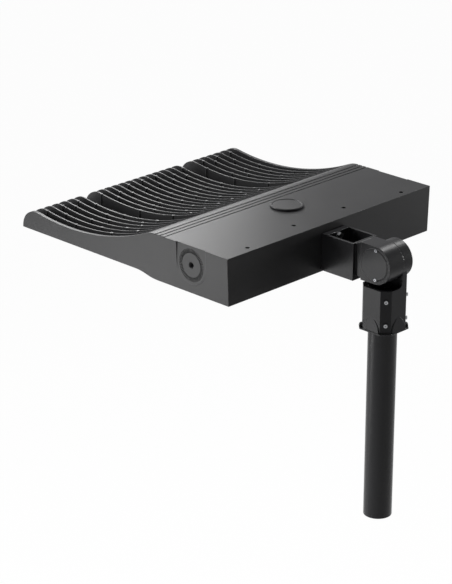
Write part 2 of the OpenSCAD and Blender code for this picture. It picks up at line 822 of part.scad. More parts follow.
// Finned die casting with driver box, fins and side mounts
module housing() {
    color(cast_black)
        difference() {
            union() {
                difference() {
                    intersection() {
                        head_solid();
                        drafted();
                    }
                    for (x = channels)
                        channel(x[0], x[1]);
                    head_block(-cave_x, cave_x, box_wall, door_front + 2, box_wall, ledge_d - ledge_h);
                    difference() {
                        head_block(-cave_x, cave_x, door_front, run_f, 12, floor_d);
                        head_cyl(-half_w, half_w, run_f, floor_d - run_r, run_r + box_wall + 1);
                    }
                }
                for (k = [0:len(fins) - 1], back = boss_rows[k])
                    translate(at_head(fins[k], head_len - back, floor_d + over))
                        z_cyl(0, floor_d + over - dip_at(head_len - back) + boss_up, boss_d / 2, small_fn);
                for (s = [-1, 1])
                    mirror([s < 0 ? 1 : 0, 0, 0])
                        pad_block(pad_x - 4, pad_x);
                box_bosses();
            }
            for (s = [-1, 1])
                mirror([s < 0 ? 1 : 0, 0, 0]) {
                    translate([0, 0, over])
                        pad_block(pad_x, half_w + over);
                    head_cyl(pad_x - side_depth, pad_x + over, side_f, side_d, side_thread / 2);
                    translate(at_head(pad_x - 1.2, side_f, side_d))
                        rotate([0, 90, 0])
                            cylinder(h = 1.3, r1 = side_thread / 2, r2 = side_thread / 2 + 1.3, $fn = round_fn);
                    translate(at_head(pad_x, side_f, side_d))
                        face_teeth(ring_teeth, ring_ri, ring_ro, ring_depth);
                }
            for (i = [0:2])
                head_block(-half_w - over, half_w + over, groove_f + i * groove_pitch - groove_w / 2,
                    groove_f + i * groove_pitch + groove_w / 2, -over, groove_d);
            for (p = tray_at) {
                translate(at_head(p[0], p[1], tray_d - sunk_floor))
                    z_cyl(0, tray_d, sunk_d / 2, small_fn);
                translate(at_head(p[0], p[1], tray_d + over))
                    z_cyl(0, tray_d, tray_screw_r + seat, small_fn);
            }
            translate(at_head(0, cell_f, box_wall + over))
                z_cyl(0, box_wall + 2 * over, cell_hole, round_fn);
            head_block(-door_x - 0.3, door_x + 0.3, door_rear - 0.3, door_front + 0.3, ledge_d, head_h + over);
            head_block(-door_x + door_ledge, door_x - door_ledge, door_rear + door_ledge, door_front - door_ledge,
                ledge_d - ledge_h - over, ledge_d + over);
            for (p = door_screws_at)
                translate(at_head(p[0], door_row(p[1]), ledge_d + over))
                    z_cyl(0, 7 + over, small_screw, small_fn);
            head_block(-lamp_x - 0.3, lamp_x + 0.3, lamp_rear - 0.3, lamp_front + 0.3, lens_d - lens_gasket_t, panel_d + over);
            head_block(-lamp_x + bezel_w, lamp_x - bezel_w, field_rear, field_front, lamp_roof, panel_d + over);
            for (p = bezel_screws_at)
                translate(at_head(p[0], lamp_row(p[1]), lens_d))
                    z_cyl(0, lens_gasket_t + 5, small_screw, small_fn);
            translate(at_head(0, field_rear + 12, lamp_roof + over))
                z_cyl(0, lamp_roof - floor_d + 2 * over, 5, small_fn);
            for (z = arm_bolt_z)
                translate([0, rear_y + over, pivot_z + z])
                    rotate([90, 0, 0])
                        cylinder(h = 13 + over, r = arm_bolt_d / 2, $fn = small_fn);
            translate([0, rear_y + over, pivot_z + arm_top - arm_h / 2])
                rotate([90, 0, 0])
                    cylinder(h = box_wall + 2 * over, r = wire_r, $fn = round_fn);
        }
}

// Round blank over the photocell opening
module photocell_cap() {
    color(cast_black)
        translate(at_head(0, cell_f, 0)) {
            rotate_extrude($fn = round_fn)
                polygon([[0, cell_gasket_t], [cell_r, cell_gasket_t], [cell_r, cell_gasket_t + cell_h - 1.5],
                    [cell_r - 1.5, cell_gasket_t + cell_h], [cell_r - 5, cell_gasket_t + cell_h],
                    [cell_r - 6, cell_gasket_t + cell_h - 1], [0, cell_gasket_t + cell_h - 1]]);
            z_cyl(-box_wall - 3, cell_gasket_t + over, cell_hole - seat);
        }
}

// Flat ring under the blank
module photocell_gasket() {
    color(dark_black)
        translate(at_head(0, cell_f, 0))
            difference() {
                z_cyl(0, cell_gasket_t, cell_r - 1.5);
                z_cyl(-over, cell_gasket_t + over, cell_hole);
            }
}

// Four long screws, sunk deep in the top, that carry the driver tray
module tray_screws() {
    color(zinc_steel)
        for (p = tray_at)
            translate(at_head(p[0], p[1], tray_d - sunk_floor))
                difference() {
                    union() {
                        z_cyl(0, 4, 4, small_fn);
                        z_cyl(-sunk_floor - tray_t - 5, over, tray_screw_r, small_fn);
                    }
                    translate([0, 0, 2])
                        hex(4, 3);
                }
}

// Steel tray with four ears and drop-down ends
module driver_tray() {
    color(zinc_steel)
        difference() {
            union() {
                head_block(-tray_x, tray_x, tray_rear, tray_rear + tray_l, tray_d, under_tray);
                for (p = tray_at)
                    head_block(p[0] - 4.4 * tray_screw_r, p[0] + 4.4 * tray_screw_r, p[1] - 3 * tray_screw_r,
                        max(p[1] + 3 * tray_screw_r, tray_rear + over), tray_d, under_tray);
                for (s = [-1, 1])
                    head_block(s * tray_x - tray_t / 2, s * tray_x + tray_t / 2, tray_rear + tray_l * 0.7,
                        tray_rear + tray_l, tray_d, tray_d + tray_fold);
            }
            for (p = tray_at)
                translate(at_head(p[0], p[1], tray_d + tray_t + over))
                    z_cyl(0, tray_t + 2 * over, tray_screw_r + seat, small_fn);
        }
}

// Potted LED driver under the tray
module led_driver() {
    color("#55585c")
        difference() {
            head_block(-driver_w / 2, driver_w / 2, driver_f, driver_f + driver_l, under_tray, under_tray + driver_h);
            for (i = [-6:6])
                head_block(i * rib_pitch - rib_w / 2, i * rib_pitch + rib_w / 2, driver_f + 2, driver_f + driver_l - 2,
                    under_tray + driver_h - rib_h, under_tray + driver_h + over);
        }
}

// Surge protector under the tray
module surge_protector() {
    color("#2a4d7a")
        head_block(surge_x - surge_w / 2, surge_x + surge_w / 2, driver_f + 10,
            driver_f + 10 + surge_l, under_tray, under_tray + surge_h);
}

// Five-way terminal block under the tray
module terminal_block() {
    color("#d8d5ca")
        difference() {
            head_block(-surge_x - terminal_w / 2, -surge_x + terminal_w / 2, driver_f + 20,
                driver_f + 20 + 1.6 * terminal_pitch, under_tray, under_tray + 1.2 * terminal_pitch);
            for (i = [0:terminal_poles - 1])
                translate(at_head(-surge_x + (i + 0.5) * terminal_pitch - terminal_w / 2,
                    driver_f + 20 + 0.8 * terminal_pitch, under_tray + 1.2 * terminal_pitch + over))
                    z_cyl(0, 6, terminal_pitch * 0.21, small_fn);
        }
}

// Rubber grommet for the supply wires
module wire_grommet() {
    color(dark_black)
        translate([0, rear_y, pivot_z + arm_top - arm_h / 2])
            rotate([90, 0, 0])
                difference() {
                    union() {
                        z_cyl(0, box_wall + over, wire_r - seat);
                        z_cyl(box_wall, box_wall + 3, wire_r + 3);
                    }
                    z_cyl(-over, box_wall + 4, 5);
                }
}

// Breather plug in the driver door
module breather_vent() {
    color(dark_black)
        translate(at_head(vent_x, vent_f, head_h))
            difference() {
                union() {
                    z_cyl(-4, 0, 9, 48);
                    z_cyl(-over, door_t + 6, vent_r - seat, 48);
                }
                for (a = [0:60:300])
                    rotate(a)
                        translate([5, 0, -4 - over])
                            cylinder(h = 2, r = 1.2, $fn = 16);
            }
}

// Pressed driver door, flush with the underside
module driver_door() {
    color(cast_black)
        difference() {
            union() {
                head_block(-door_x, door_x, door_rear, door_front, door_d, head_h);
                for (x = [-2:2])
                    head_block(x * door_x / 3 - 2, x * door_x / 3 + 2, door_rear + 24, door_front - 24, door_d - 4, door_d + over);
            }
            head_block(-door_x + 22, door_x - 22, door_rear + 20, door_front - 20, head_h - 0.8, head_h + over);
            for (p = door_screws_at)
                translate(at_head(p[0], door_row(p[1]), head_h + over))
                    z_cyl(0, door_t + 2 * over, small_screw + 0.2, small_fn);
            translate(at_head(vent_x, vent_f, head_h + over))
                z_cyl(0, door_t + 2 * over, vent_r, 48);
        }
}

// Rubber ring under the driver door
module door_gasket() {
    color(dark_black)
        difference() {
            head_block(-door_x, door_x, door_rear, door_front, ledge_d, door_d);
            head_block(-door_x + door_ledge - over, door_x - door_ledge + over, door_rear + door_ledge - over,
                door_front - door_ledge + over, ledge_d - over, door_d + over);
            for (p = door_screws_at)
                translate(at_head(p[0], door_row(p[1]), door_d + over))
                    z_cyl(0, door_gasket_t + 2 * over, small_screw + 0.2, small_fn);
        }
}

// A pan-head screw pointing up, its seat at z = 0
module pan_screw(shank) {
    difference() {
        union() {
            z_cyl(-1.8, 0, 3.4, small_fn);
            z_cyl(-over, shank, small_screw - seat, small_fn);
        }
        translate([0, 0, -1.8 - over])
            hex(2.6, 1 + over);
    }
}

// Screws of the driver door
module door_screws() {
    color(screw_steel)
        for (p = door_screws_at)
            translate(at_head(p[0], door_row(p[1]), head_h))
                pan_screw(door_t + door_gasket_t + 6);
}

// Three circuit boards under the fins
module led_boards() {
    color("#e9e9e4")
        for (i = [-1:1])
            head_block(i * board_pitch - board_w / 2, i * board_pitch + board_w / 2, field_rear + 3, field_front - 3,
                lamp_roof, lamp_roof + board_t);
}

// Place of every lamp on the boards
module each_lamp(d) {
    for (i = [-1:1], c = [0:lamp_cols - 1], r = [0:lamp_rows - 1])
        translate(at_head(i * board_pitch - board_w / 2 + (c + 0.5) * lamp_pitch_x,
            field_rear + 3 + (r + 0.5) * lamp_pitch_f, d))
            children();
}

// Light sources on the boards
module led_chips() {
    color("#e8d36b")
        each_lamp(lamp_roof + board_t)
            translate([-2.5, -2.5, -1])
                cube([5, 5, 1]);
}

// Rubber ring behind the lens sheet
module lens_gasket() {
    color(dark_black)
        difference() {
            head_block(-lamp_x, lamp_x, lamp_rear, lamp_front, lens_d - lens_gasket_t, lens_d);
            head_block(-lamp_x + bezel_w, lamp_x - bezel_w, field_rear, field_front, lens_d - 3, lens_d + over);
            for (p = bezel_screws_at)
                translate(at_head(p[0], lamp_row(p[1]), lens_d + over))
                    z_cyl(0, lens_gasket_t + 2 * over, small_screw + 0.2, small_fn);
        }
}

// Clear lens sheet with a dome under every light source
module lens_panel() {
    color([0.85, 0.9, 0.93, 0.55])
        difference() {
            union() {
                head_block(-lamp_x, lamp_x, lamp_rear, lamp_front, lens_d, lens_d + lens_t);
                each_lamp(lens_d + lens_t - 0.5)
                    rotate_extrude($fn = small_fn)
                        polygon([[0, 0.5], [dome_r, 0.5], [dome_r, 0], [dome_r * 0.94, -dome_r * 0.28],
                            [dome_r * 0.72, -dome_r * 0.46], [dome_r * 0.4, -dome_r * 0.57], [0, -dome_r * 0.6]]);
            }
            for (p = bezel_screws_at)
                translate(at_head(p[0], lamp_row(p[1]), lens_d + lens_t + over))
                    z_cyl(0, lens_t + 2 * over, small_screw + 0.2, small_fn);
        }
}

// Frame that clamps the lens sheet
module lens_bezel() {
    color(cast_black)
        difference() {
            head_block(-lamp_x, lamp_x, lamp_rear, lamp_front, panel_d - bezel_t, panel_d);
            head_block(-lamp_x + bezel_w, lamp_x - bezel_w, field_rear, field_front, panel_d - 5, panel_d + over);
            for (p = bezel_screws_at)
                translate(at_head(p[0], lamp_row(p[1]), panel_d + over))
                    z_cyl(0, bezel_t + 2 * over, small_screw + 0.2, small_fn);
        }
}

// Screws of the lens frame
module bezel_screws() {
    color(screw_steel)
        for (p = bezel_screws_at)
            translate(at_head(p[0], lamp_row(p[1]), panel_d))
                pan_screw(bezel_t + lens_t + lens_gasket_t + 4);
}

pole();
slipfitter_body();
set_screws();
pivot_bolt();
pivot_washers();
pivot_nut();
arm_bracket();
knuckle_cap();
knuckle_cap_screws();
arm_bolts();
arm_washers();
arm_gasket();
housing();
photocell_cap();
photocell_gasket();
tray_screws();
driver_tray();
led_driver();
surge_protector();
terminal_block();
wire_grommet();
breather_vent();
driver_door();
door_gasket();
door_screws();
led_boards();
led_chips();
lens_gasket();
lens_panel();
lens_bezel();
bezel_screws();
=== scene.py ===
import json
import bpy
import numpy as np
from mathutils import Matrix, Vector


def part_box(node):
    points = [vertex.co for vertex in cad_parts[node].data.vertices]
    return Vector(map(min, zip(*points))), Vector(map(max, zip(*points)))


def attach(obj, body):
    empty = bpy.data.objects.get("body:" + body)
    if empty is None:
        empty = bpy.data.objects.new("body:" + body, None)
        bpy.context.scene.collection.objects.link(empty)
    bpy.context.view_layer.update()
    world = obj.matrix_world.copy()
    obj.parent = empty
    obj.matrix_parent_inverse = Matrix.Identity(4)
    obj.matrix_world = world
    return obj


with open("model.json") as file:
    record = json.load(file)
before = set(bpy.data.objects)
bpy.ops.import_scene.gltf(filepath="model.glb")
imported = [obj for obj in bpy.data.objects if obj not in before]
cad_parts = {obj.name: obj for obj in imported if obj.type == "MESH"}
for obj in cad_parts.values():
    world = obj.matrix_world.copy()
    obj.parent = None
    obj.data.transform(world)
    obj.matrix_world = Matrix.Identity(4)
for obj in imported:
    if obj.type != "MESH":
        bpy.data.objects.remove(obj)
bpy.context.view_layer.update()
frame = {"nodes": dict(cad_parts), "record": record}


# Camera.
# A long lens a good four and a half metres away, above the head and behind its
# capped side, set from the head's straight edges and the pole.
camera_place = Vector((3.1948, 2.7110, 2.1810))
camera_target = Vector((0.113222, -0.337461, 0.438247))
camera_lens_mm = 136.94
camera_sensor_mm = 36.0
camera_data = bpy.data.cameras.new("camera")
camera_data.lens = camera_lens_mm
camera_data.sensor_width = camera_sensor_mm
camera_data.sensor_fit = "AUTO"
camera = bpy.data.objects.new("camera", camera_data)
camera.location = camera_place
camera.rotation_euler = (camera_target - camera_place).to_track_quat("-Z", "Y").to_euler()
bpy.context.scene.collection.objects.link(camera)
bpy.context.scene.camera = camera
bpy.context.scene.view_settings.view_transform = "Standard"


# Floor and studio.
# A pale painted floor well below the cut pole, a white surround that the
# camera, gloss and glass see, and seven soft boxes round the head.
floor_height = -0.60
floor_half = 30.0
floor_glow_share = 0.975
floor_in_gloss = 0.45
sky_in_gloss = 0.3
sky_light = 0.02
seen_white = 1.0


def linear(hex_colour):
    """sRGB hex to linear RGBA: the standard curve, channel by channel."""
    raw = np.array([int(hex_colour[i:i + 2], 16) for i in (1, 3, 5)]) / 255.0
    out = np.where(raw <= 0.04045, raw / 12.92, ((raw + 0.055) / 1.055) ** 2.4)
    return (*out.tolist(), 1.0)


def add(tree, kind, settings=None, links=None):
    """Adds one node, sets its sockets and properties, and links its inputs."""
    node = tree.nodes.new(kind)
    for key, value in (settings or {}).items():
        if isinstance(key, str) and hasattr(node, key):
            setattr(node, key, value)
        else:
            node.inputs[key].default_value = value
    for key, source in (links or {}).items():
        tree.links.new(source, node.inputs[key])
    return node


def seen_rays(tree, in_gloss):
    """1 for camera and transmission rays, in_gloss for glossy ones, else 0."""
    path = add(tree, "ShaderNodeLightPath")
    gloss = add(tree, "ShaderNodeMath", {"operation": "MULTIPLY", 1: in_gloss},
                {0: path.outputs["Is Glossy Ray"]})
    first = add(tree, "ShaderNodeMath", {"operation": "MAXIMUM"},
                {0: path.outputs["Is Camera Ray"], 1: gloss.outputs[0]})
    both = add(tree, "ShaderNodeMath", {"operation": "MAXIMUM"},
               {0: first.outputs[0], 1: path.outputs["Is Transmission Ray"]})
    return both.outputs[0]


world = bpy.data.worlds.new("studio")
bpy.context.scene.world = world
world.use_nodes = True
sky = world.node_tree
sky.nodes.clear()
ambient = add(sky, "ShaderNodeBackground", {"Color": linear("#ffffff"), "Strength": sky_light})
white = add(sky, "ShaderNodeBackground", {"Color": linear("#ffffff"), "Strength": seen_white})
blend = add(sky, "ShaderNodeMixShader", {},
            {0: seen_rays(sky, sky_in_gloss), 1: ambient.outputs[0], 2: white.outputs[0]})
add(sky, "ShaderNodeOutputWorld", {}, {"Surface": blend.outputs[0]})

floor_mesh = bpy.data.meshes.new("floor")
floor_mesh.from_pydata([(-floor_half, -floor_half, floor_height),
                        (floor_half, -floor_half, floor_height),
                        (floor_half, floor_half, floor_height),
                        (-floor_half, floor_half, floor_height)],
                       [], [(0, 1, 2, 3)])
floor = bpy.data.objects.new("floor", floor_mesh)
bpy.context.scene.collection.objects.link(floor)
floor_paint = bpy.data.materials.new("matt_floor_paint")
floor_paint.use_nodes = True
tree = floor_paint.node_tree
tree.nodes.clear()
matt = add(tree, "ShaderNodeBsdfDiffuse", {"Color": linear("#f4f4f4")})
glow = add(tree, "ShaderNodeEmission", {"Color": linear("#ffffff"), "Strength": seen_white})
share = add(tree, "ShaderNodeMath", {"operation": "MULTIPLY", 1: floor_glow_share},
            {0: seen_rays(tree, floor_in_gloss)})
mixed = add(tree, "ShaderNodeMixShader", {},
            {0: share.outputs[0], 1: matt.outputs[0], 2: glow.outputs[0]})
add(tree, "ShaderNodeOutputMaterial", {}, {"Surface": mixed.outputs[0]})
floor_mesh.materials.append(floor_paint)


def soft_box(name, place, target, wide, tall, power):
    """A rectangular area lamp at place that faces target; sizes in metres, power in watts."""
    data = bpy.data.lights.new(name, "AREA")
    data.shape = "RECTANGLE"
    data.size = wide
    data.size_y = tall
    data.energy = power
    lamp = bpy.data.objects.new(name, data)
    lamp.location = place
    lamp.rotation_euler = (Vector(target) - Vector(place)).to_track_quat("-Z", "Y").to_euler()
    bpy.context.scene.collection.objects.link(lamp)


head_middle = (0, -0.35, 0.5)
pole_middle = (0, 0.0, 0.3)
soft_box("low_left", (1.75, -1.72, 1.00), head_middle, 1.4, 1.4, 22)
soft_box("under_left", (1.80, -1.60, -0.26), pole_middle, 1.0, 0.5, 10)
soft_box("nose_high", (-0.05, -1.60, 1.65), head_middle, 1.5, 0.4, 24)
soft_box("crest_glow", (-0.30, -1.30, 1.00), head_middle, 0.5, 0.5, 2)
soft_box("top_glow", (-1.20, -1.90, 1.30), head_middle, 0.5, 0.5, 4.2)
soft_box("drum_glow", (-1.71, -0.35, 2.46), head_middle, 0.6, 0.6, 27)
soft_box("arm_shade", (-1.60, 0.35, 0.60), head_middle, 0.5, 0.5, 11)


# Pole.
# A length of welded steel tube with a smooth black powder coat that ends
# where the socket begins; the coat is satin, with a faint orange peel.
pole_grain_mm = 1.6
pole_edge_mm = 0.5
pole_rough = 0.23
pole_specular = 0.32
noise_span = {"From Min": 0.3, "From Max": 0.7}  # most of a noise lies between these
coat_ior = 1.45
coat_cloud_scale = 9.0
coat_tone = {"To Min": 0.92, "To Max": 1.08}
coat_gloss_span = (-0.04, 0.05)
coat_grain_depth = 0.00015
coat_bump = 0.35
# How pale an edge gets as its rounding turns the normal: partly wear, partly a painted highlight.
edge_wear_and_highlight = {"From Min": 0.99, "From Max": 0.80, "To Min": 0.0, "To Max": 0.7}
edge_polish = {"From Min": 0.0, "From Max": 0.7, "To Min": 1.0, "To Max": 0.55}

# Places in metres on the castings where the coat differs: the toothed rings on
# the head's sides, which brackets rub and which get painted shade, and the stout
# parts with full edge radii.
ring_centre = (0.0, -0.2438, 0.5772)
ring_radius = 0.03025
ring_reach = {"From Min": 0.036, "From Max": 0.042}  # from the ring's centre
ring_half = {"From Min": 0.0046, "From Max": 0.0052}  # from the ring's middle line
# where the ring's grooves get a darker painted shade
ring_groove = {"From Min": 0.3062, "From Max": 0.3057}  # from the head's middle
# how much of that edge paleness, wear and painted highlight, the ring band keeps
ring_wear_and_highlight_left = {"To Min": 1.0, "To Max": 0.1}
ring_polish = {"To Min": 1.0, "To Max": 0.6}
tooth_edge_mm = 0.25
side_wall = {"From Min": 0.299, "From Max": 0.301}  # from the head's middle
behind_box = {"From Min": -0.139, "From Max": -0.137}  # along Y
stout_share = {"To Min": 0.25, "To Max": 1.0}


def powder_coat(name, shade, rough, grain_mm, edge_mm, specular=0.25):
    """Powder coat: a clouded colour with a grain in bump and gloss, rounded over every edge.

    An edge is rounded by edge_mm on the stout parts and by a quarter of it on the fins and
    the top; where the rounding turns the normal, the coat is smoother and paler, most on the
    stout parts, a paleness that is partly wear and partly a painted highlight. The toothed
    rings have sharp edges, a smoother face with painted shade on it, and darker painted
    shade in the grooves.
    """
    coat = bpy.data.materials.new(name)
    coat.use_nodes = True
    tree = coat.node_tree
    tree.nodes.clear()
    place = add(tree, "ShaderNodeTexCoord").outputs["Object"]

    # Clouded colour.
    grain = add(tree, "ShaderNodeTexNoise", {"Scale": 1000.0 / grain_mm, "Detail": 2.0},
                {"Vector": place})
    cloud = add(tree, "ShaderNodeTexNoise", {"Scale": coat_cloud_scale, "Detail": 3.0},
                {"Vector": place})
    tone = add(tree, "ShaderNodeMapRange", {**noise_span, **coat_tone},
               {"Value": cloud.outputs["Fac"]})
    colour = add(tree, "ShaderNodeMix",
                 {"data_type": "RGBA", "blend_type": "MULTIPLY", 0: 1.0, 6: linear(shade)},
                 {7: tone.outputs[0]})

    # Toothed rings: the distance from their shared axis, and the band a bracket rubs, which gets
    # painted shade.
    flat = add(tree, "ShaderNodeMapping", {"Scale": (0.0, 1.0, 1.0)}, {"Vector": place})
    reach = add(tree, "ShaderNodeVectorMath", {"operation": "DISTANCE", 1: ring_centre},
                {0: flat.outputs[0]})
    radius = add(tree, "ShaderNodeMapRange",
                 {**ring_reach, "To Min": min(edge_mm, tooth_edge_mm) / 1000.0,
                  "To Max": edge_mm / 1000.0}, {"Value": reach.outputs["Value"]})
    middle = add(tree, "ShaderNodeMath", {"operation": "SUBTRACT", 1: ring_radius},
                 {0: reach.outputs["Value"]})
    across = add(tree, "ShaderNodeMath", {"operation": "ABSOLUTE"}, {0: middle.outputs[0]})
    rub_and_shade = add(tree, "ShaderNodeMapRange", {**ring_half, "To Min": 1.0, "To Max": 0.0},
              {"Value": across.outputs[0]})

    # Stout parts: the head's side walls, and all that is behind the driver box.
    spot = add(tree, "ShaderNodeSeparateXYZ", {}, {"Vector": place})
    outward = add(tree, "ShaderNodeMath", {"operation": "ABSOLUTE"}, {0: spot.outputs["X"]})
    wall = add(tree, "ShaderNodeMapRange", {**side_wall, **stout_share},
               {"Value": outward.outputs[0]})
    behind = add(tree, "ShaderNodeMapRange", {**behind_box, **stout_share},
                 {"Value": spot.outputs["Y"]})
    stout = add(tree, "ShaderNodeMath", {"operation": "MAXIMUM"},
                {0: wall.outputs[0], 1: behind.outputs[0]})

    # Rounded edges, and how pale they are by how far the rounding turns the normal: partly
    # wear, partly a painted highlight.
    edge_radius = add(tree, "ShaderNodeMath", {"operation": "MULTIPLY"},
                      {0: radius.outputs[0], 1: stout.outputs[0]})
    edge = add(tree, "ShaderNodeBevel", {"samples": 6}, {"Radius": edge_radius.outputs[0]})
    plain = add(tree, "ShaderNodeNewGeometry")
    turn = add(tree, "ShaderNodeVectorMath", {"operation": "DOT_PRODUCT"},
               {0: edge.outputs[0], 1: plain.outputs["Normal"]})
    worn_and_highlit = add(tree, "ShaderNodeMapRange", edge_wear_and_highlight, {"Value": turn.outputs["Value"]})

    # Colour: painted shade over the ring band and darker painted shade in its grooves; pale
    # edges, partly wear and partly a painted highlight.
    sunk = add(tree, "ShaderNodeMapRange", {**ring_groove, "To Min": 0.0, "To Max": 1.0},
               {"Value": outward.outputs[0]})
    groove_painted_shade = add(tree, "ShaderNodeMath", {"operation": "MULTIPLY"},
                {0: rub_and_shade.outputs[0], 1: sunk.outputs[0]})
    ring_face_painted_shade = add(tree, "ShaderNodeMix", {"data_type": "RGBA", 7: linear("#2a2a2b")},
                    {0: rub_and_shade.outputs[0], 6: colour.outputs[2]})
    grooved = add(tree, "ShaderNodeMix", {"data_type": "RGBA", 7: linear("#0a0a0b")},
                  {0: groove_painted_shade.outputs[0], 6: ring_face_painted_shade.outputs[2]})
    kept = add(tree, "ShaderNodeMapRange", ring_wear_and_highlight_left, {"Value": rub_and_shade.outputs[0]})
    edge_paleness = add(tree, "ShaderNodeMath", {"operation": "MULTIPLY"},
               {0: worn_and_highlit.outputs[0], 1: kept.outputs[0]})
    pale = add(tree, "ShaderNodeMath", {"operation": "MULTIPLY"},
               {0: edge_paleness.outputs[0], 1: stout.outputs[0]})
    skin = add(tree, "ShaderNodeMix", {"data_type": "RGBA", 7: linear("#8c8c8e")},
               {0: pale.outputs[0], 6: grooved.outputs[2]})

    # Gloss: the grain breaks it up, and rings and worn edges are smoother.
    gloss = add(tree, "ShaderNodeMapRange",
                {**noise_span, "To Min": rough + coat_gloss_span[0],
                 "To Max": rough + coat_gloss_span[1]}, {"Value": grain.outputs["Fac"]})
    polish = add(tree, "ShaderNodeMapRange", ring_polish, {"Value": rub_and_shade.outputs[0]})
    ring_gloss = add(tree, "ShaderNodeMath", {"operation": "MULTIPLY"},
                     {0: gloss.outputs[0], 1: polish.outputs[0]})
    smooth = add(tree, "ShaderNodeMapRange", edge_polish, {"Value": worn_and_highlit.outputs[0]})
    edge_gloss = add(tree, "ShaderNodeMath", {"operation": "MULTIPLY"},
                     {0: ring_gloss.outputs[0], 1: smooth.outputs[0]})

    bump = add(tree, "ShaderNodeBump", {"Strength": coat_bump, "Distance": coat_grain_depth},
               {"Height": grain.outputs["Fac"], "Normal": edge.outputs[0]})
    shader = add(tree, "ShaderNodeBsdfPrincipled",
                 {"IOR": coat_ior, "Specular IOR Level": specular},
                 {"Base Color": skin.outputs[2], "Roughness": edge_gloss.outputs[0],
                  "Normal": bump.outputs[0]})
    add(tree, "ShaderNodeOutputMaterial", {}, {"Surface": shader.outputs[0]})
    return coat


def dress(material, *nodes):
    """Gives CAD nodes a material in every slot."""
    for name in nodes:
        mesh = frame["nodes"][name].data
        mesh.materials.clear()
        mesh.materials.append(material)


dress(powder_coat("smooth_black_powder_coat", "#38383a", pole_rough, pole_grain_mm,
                  pole_edge_mm, pole_specular), "pole")


# Socket, arm, cap and head castings.
# Die-cast aluminium with a fine-texture black polyester powder coat, matt to
# satin; its grain is really about 0.3 mm wide, and drawn coarser so that it shows.
cast_grain_mm = 0.9
cast_rough = 0.36
cast_edge_mm = 1.8
thick_edge_mm = 1.5
cast_coat = powder_coat("textured_black_powder_coat", "#3e3e3f", cast_rough, cast_grain_mm,
                        cast_edge_mm)
dress(cast_coat, "housing", "photocell_cap", "driver_door", "lens_bezel")
# A darker copy of the same coat for the slipfitter, arm and cap: painted shade.
dress(powder_coat("textured_black_powder_coat_shaded", "#38383a", cast_rough, cast_grain_mm,
                  thick_edge_mm), "slipfitter_body", "arm_bracket", "knuckle_cap")


# Set screws, arm bolts and cover screws.
# Stainless steel, turned and lightly tumbled: bright, with a soft scatter from fine
# lines that are really about 0.1 mm apart, and drawn coarser so that they show.
steel_rough = 0.26
steel_scratch_mm = 0.4
scratch_stretch = (1.0, 1.0, 0.08)
scratch_depth = 0.00005
scratch_bump = 0.2
metal_cloud_scale = 160.0
metal_gloss_span = (-0.06, 0.10)
metal_edge = 0.0003


def bare_metal(name, shade, rough, scratch_mm, patch_shade):
    """Bare metal: a cloudy tint between two shades and fine scratches drawn out along Z."""
    metal = bpy.data.materials.new(name)
    metal.use_nodes = True
    tree = metal.node_tree
    tree.nodes.clear()
    place = add(tree, "ShaderNodeTexCoord").outputs["Object"]
    drawn = add(tree, "ShaderNodeMapping", {"Scale": scratch_stretch}, {"Vector": place})
    scratch = add(tree, "ShaderNodeTexNoise", {"Scale": 1000.0 / scratch_mm, "Detail": 3.0},
                  {"Vector": drawn.outputs[0]})
    cloud = add(tree, "ShaderNodeTexNoise", {"Scale": metal_cloud_scale, "Detail": 2.0},
                {"Vector": place})
    tint = add(tree, "ShaderNodeMix",
               {"data_type": "RGBA", 6: linear(shade), 7: linear(patch_shade)},
               {0: cloud.outputs["Fac"]})
    gloss = add(tree, "ShaderNodeMapRange",
                {**noise_span, "To Min": rough + metal_gloss_span[0],
                 "To Max": rough + metal_gloss_span[1]}, {"Value": scratch.outputs["Fac"]})
    edge = add(tree, "ShaderNodeBevel", {"samples": 4, "Radius": metal_edge})
    bump = add(tree, "ShaderNodeBump", {"Strength": scratch_bump, "Distance": scratch_depth},
               {"Height": scratch.outputs["Fac"], "Normal": edge.outputs[0]})
    shader = add(tree, "ShaderNodeBsdfPrincipled", {"Metallic": 1.0},
                 {"Base Color": tint.outputs[2], "Roughness": gloss.outputs[0],
                  "Normal": bump.outputs[0]})
    add(tree, "ShaderNodeOutputMaterial", {}, {"Surface": shader.outputs[0]})
    return metal


stainless = bare_metal("stainless_steel", "#d3d4d6", steel_rough, steel_scratch_mm, "#bfc1c4")
dress(stainless, "set_screws", "arm_bolts", "arm_washers", "door_screws", "bezel_screws")


# Cap screws.
# The same steel in a greyer shade than the tumbled screws: painted shade that dims
# their highlights.
cap_screw_rough = 0.34
dress(bare_metal("shaded_stainless_steel", "#8c8d90", cap_screw_rough, steel_scratch_mm,
                 "#7b7c80"), "knuckle_cap_screws")


# Threads in the two side holes.
# M12 coarse right-hand threads tapped into the casting at a pitch of 1.75 mm;
# the same powder coat as the casting's has run into them.
thread_pitch = 0.00175
thread_depth = 0.00095
thread_end_gap = 0.0006
thread_clearance = 0.0001
sleeve_clearance = 0.00002
thread_turn_steps = 48
thread_pitch_steps = 8
ridge_height = 1.5
ridge_cut = 0.25


def surface(name, points, around, along):
    """Mesh of grids (sheets, rows, columns, xyz), with a quad between neighbouring points.

    around joins the last column to the first, and along the last row to the first. A tube
    that is closed around but open along gets a flat face at each end.
    """
    sheets, rows, columns, _ = points.shape
    number = np.arange(sheets * rows * columns).reshape(sheets, rows, columns)
    right = np.roll(number, -1, axis=2)
    down = np.roll(number, -1, axis=1)
    across = np.roll(right, -1, axis=1)
    quads = np.stack([number, right, across, down], axis=-1)
    quads = quads[:, :rows if along else rows - 1, :columns if around else columns - 1]
    faces = quads.reshape(-1, 4).tolist()
    if around and not along:
        faces += number[:, 0, ::-1].tolist() + number[:, -1].tolist()
    mesh = bpy.data.meshes.new(name)
    mesh.from_pydata(points.reshape(-1, 3).tolist(), [], faces)
    mesh.polygons.foreach_set("use_smooth", np.ones(len(mesh.polygons), dtype=bool))
    piece = bpy.data.objects.new(name, mesh)
    bpy.context.scene.collection.objects.link(piece)
    return piece


